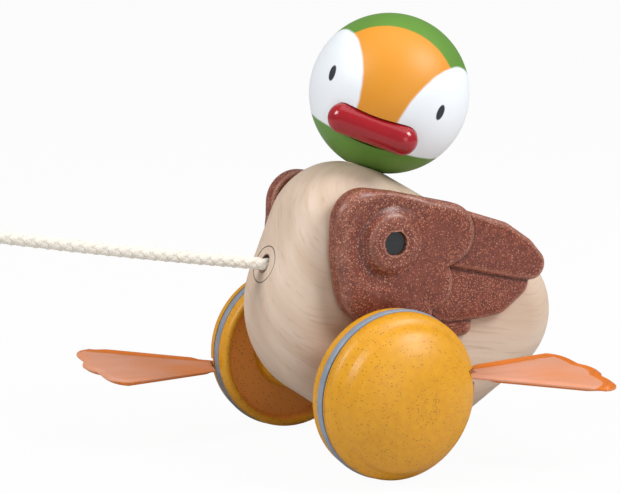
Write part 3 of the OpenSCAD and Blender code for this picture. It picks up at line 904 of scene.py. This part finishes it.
def foot_spot(t, u):
    """Point of the foot's middle plane: t across it, u from the hinge to the toes."""
    mouth_u, web_u = 0.25, 0.26
    outward = (t + 1) / 2
    root_x = -FOOT_ROOT + outward * (FOOT_ROOT + ROOT_OUT)
    web_x = WEB_START[0] + outward * (WEB_START[1] - WEB_START[0])
    # Beside the tyre the web stays clear of it; in front of the slot it starts closer to the dome
    past_tyre = smoothstep(-5.2, -2.5, web_x)
    web_s = WEB_START_S[0] + past_tyre * (WEB_START_S[1] - WEB_START_S[0])
    stops = ((0, Vector((root_x, FOOT_HINGE))), (mouth_u, Vector((root_x, web_s - 0.2))))
    stops += ((web_u, Vector((web_x, web_s))), (1, toe_line(t)))
    for (low, start), (high, end) in zip(stops, stops[1:]):
        if u <= high:
            return start.lerp(end, (u - low) / (high - low))
    return stops[-1][1]


def ridge(distance):
    """Height share of the ridge that follows an edge, by the distance in from that edge."""
    return smoothstep(0.4, 1, distance) * smoothstep(2.8, 2.1, distance)


def polish(distance, width):
    """Share of the deeper colour, by the distance in from a ridged edge and the band's width."""
    return smoothstep(0.1, 0.4, distance) * smoothstep(width, width - 0.6, distance)


def foot_mesh(name, side):
    """Webbed foot: it thins to its edge, with ridges above (toes, inner side) and below (outer side)."""
    web_length = FOOT_REACH - FOOT_MOUTH
    web_share = 0.74
    edge_t = [2 * step / FOOT_WIDTH for step in EDGE_STEPS]
    middle = [-1 + edge_t[-1] + (2 - 2 * edge_t[-1]) * k / 28 for k in range(1, 28)]
    across = [-1 + t for t in edge_t] + middle + [1 - t for t in reversed(edge_t)]
    toe_u = [1 - web_share * step / web_length for step in EDGE_STEPS]
    along = [toe_u[-1] * k / 48 for k in range(48)] + list(reversed(toe_u))
    sheet = bmesh.new()
    on_ridge = sheet.verts.layers.float.new("ridge")
    rows = []
    for u in along:
        row = []
        for t in across:
            spot = foot_spot(t, u)
            width = (foot_spot(1, u) - foot_spot(-1, u)).length
            from_toes = (1 - u) / web_share * web_length
            from_inner, from_outer = (1 + t) / 2 * width, (1 - t) / 2 * width
            free = smoothstep(FOOT_MOUTH + 0.5, FOOT_MOUTH + 3, spot.y)
            above = free * max(ridge(from_inner), ridge(from_toes) * smoothstep(1.0, 0.88, t))
            below = free * ridge(from_outer) * smoothstep(3, 8, from_toes)
            from_edge = min(from_inner, from_outer, from_toes)
            half = WEB_T / 2 * (0.25 + 0.75 * smoothstep(0, 2.2, from_edge))
            top = sheet.verts.new(Vector((spot.x, spot.y, half + LIP_H * above)) * MM)
            bottom = sheet.verts.new(Vector((spot.x, spot.y, -half - LIP_H * below)) * MM)
            top[on_ridge] = max(polish(from_inner, SIDE_BAND), polish(from_toes, TOE_BAND))
            bottom[on_ridge] = polish(from_outer, SIDE_BAND)
            row.append((top, bottom))
        rows.append(row)
    for near, far in zip(rows, rows[1:]):
        for i in range(len(across) - 1):
            sheet.faces.new((near[i][0], near[i + 1][0], far[i + 1][0], far[i][0]))
            sheet.faces.new((near[i][1], far[i][1], far[i + 1][1], near[i + 1][1]))
        for i in (0, -1):
            sheet.faces.new((near[i][0], far[i][0], far[i][1], near[i][1]))
    for row in (rows[0], rows[-1]):
        for a, b in zip(row, row[1:]):
            sheet.faces.new((a[0], b[0], b[1], a[1]))
    mesh = to_mesh(name, sheet, barrel_shell())
    lift = Matrix.Translation(Vector((FOOT_X, 0, FOOT_LIFT)) * MM)
    mesh.transform(lift @ Matrix.Rotation(FOOT_TWIST, 4, "Y"))
    return on_wheel(mesh, side)


def barrel_shell():
    """The sleeve at a foot's root that turns on the hinge pin."""
    profile = (
        (-FOOT_ROOT, 1.5), (-FOOT_ROOT, 2.2), (-FOOT_ROOT + 0.3, FOOT_BARREL_R),
        (FOOT_ROOT - 0.3, FOOT_BARREL_R), (FOOT_ROOT, 2.2), (FOOT_ROOT, 1.5),
    )
    rings = []
    for x, r in profile:
        rings.append([(x, FOOT_HINGE + r * math.cos(a), r * math.sin(a))
                      for a in (2 * math.pi * k / 32 for k in range(32))])
    rings.append(rings[0])
    return skin(rings, caps=False)


for side, hand in ((1, "left"), (-1, "right")):
    new_piece(f"foot_{hand}_shaped", foot_mesh(f"foot_{hand}_shaped", side), f"{hand}_foot", foot_rubber,
              "foot_rubber", f"foot_{hand}")

# Floor and light


def white_card():
    """Matt white card: it shows the camera a white ground and keeps a trace of the shadow."""
    material, tree, shader, _ = new_material("white_card")
    tree.nodes.remove(shader)
    path = add(tree, "LightPath", {})
    share = add(tree, "Math", {0: path.outputs["Is Camera Ray"], 1: 0.96}, operation="MULTIPLY")
    card = add(tree, "BsdfDiffuse", {"Color": linear("#C9C9C9")})
    glow = add(tree, "Emission", {"Color": (1, 1, 1, 1), "Strength": 1})
    both = add(tree, "MixShader", {0: share.outputs[0], 1: card.outputs[0], 2: glow.outputs[0]})
    tree.links.new(both.outputs[0], tree.nodes["Material Output"].inputs["Surface"])
    return material


floor_mesh = bmesh.new()
bmesh.ops.create_grid(floor_mesh, x_segments=4, y_segments=4, size=6)
floor_data = bpy.data.meshes.new("floor")
floor_mesh.to_mesh(floor_data)
floor_mesh.free()
floor_data.materials.append(white_card())
floor = bpy.data.objects.new("floor", floor_data)
bpy.context.scene.collection.objects.link(floor)

world = bpy.data.worlds.new("studio")
bpy.context.scene.world = world
world.use_nodes = True
tree = world.node_tree
path = add(tree, "LightPath", {})
background = tree.nodes["Background"]
background.inputs["Color"].default_value = (1, 1, 1, 1)
strength = add(tree, "MapRange", {"Value": path.outputs["Is Camera Ray"], 3: 0.3, 4: 1.0})
tree.links.new(strength.outputs[0], background.inputs["Strength"])


def softbox(name, place, aim, size, power):
    """A square soft lamp of that size in metres and power in watts."""
    lamp = bpy.data.lights.new(name, "AREA")
    lamp.shape = "RECTANGLE"
    lamp.size, lamp.size_y = size
    lamp.energy = power
    box = bpy.data.objects.new(name, lamp)
    box.location = place
    box.rotation_euler = (Vector(place) - Vector(aim)).to_track_quat("Z", "Y").to_euler()
    bpy.context.scene.collection.objects.link(box)


# All lamps aim here, in metres
LIT = (0, 0, 0.07)
softbox("overhead", (0.1, 0.1, 1.1), LIT, (0.8, 0.8), 2.5)
softbox("right", (0.62, 0.52, 0.85), LIT, (0.4, 0.4), 9)
softbox("left", (-0.05, -0.85, 0.8), LIT, (0.4, 0.4), 7)
softbox("low_front", (1.0, -0.1, 0.3), LIT, (0.5, 0.5), 1.4)

# Last update

bpy.context.view_layer.update()
